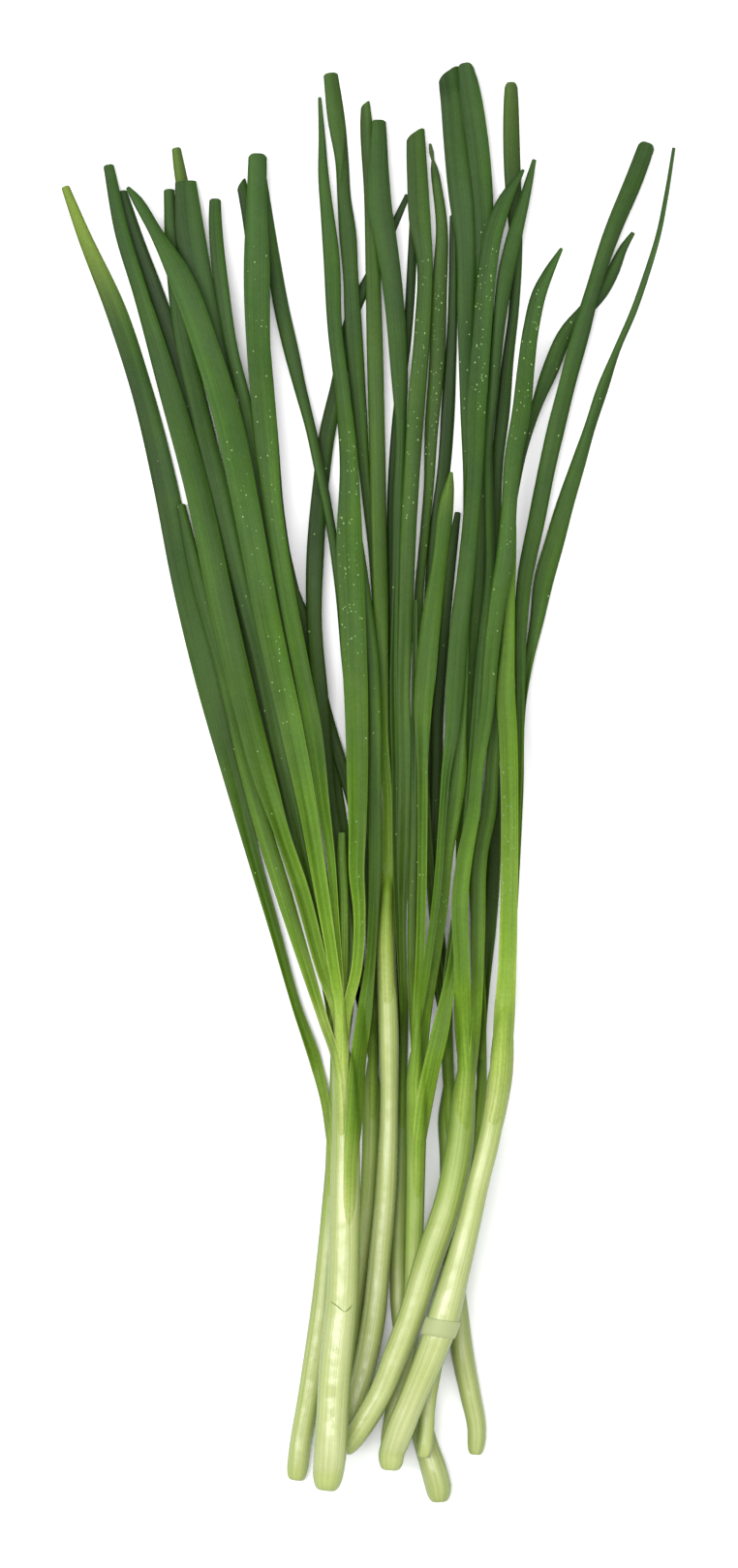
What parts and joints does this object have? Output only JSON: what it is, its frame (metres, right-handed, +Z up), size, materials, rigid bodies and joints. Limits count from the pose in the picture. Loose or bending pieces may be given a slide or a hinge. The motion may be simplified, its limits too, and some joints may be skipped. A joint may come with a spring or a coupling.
{
  "type": "garlic chive bunch",
  "caption": "Loose bunch of cut garlic chives lying flat: pale round stalks that fork into long, flat, keeled leaves fanning out to blunt and pointed tips.",
  "frame": {"origin": "on the table under the middle of the bunch's box", "axes": "+Y from the cut ends of the stalks to the leaf tips, +X to the right as seen from above, +Z up from the table"},
  "size_m": [0.1592, 0.3735, 0.0214],
  "materials": {
    "leaf": "satin, fine lengthwise veins, paler towards the stalk",
    "stalk": "smooth and moist, with fine lengthwise ribs",
    "dry_sheath": "matte, papery"
  },
  "bodies": {
    "root": {"shoot_back_left": "leaf", "shoot_centre": "leaf", "shoot_crossing": "leaf", "shoot_front_left": "leaf", "shoot_front_right": "leaf", "shoot_inner_right": "leaf", "shoot_low_right": "leaf", "shoot_right": "leaf", "shoot_thin_left": "leaf", "shoot_thin_right": "leaf"}
  },
  "joints": []
}
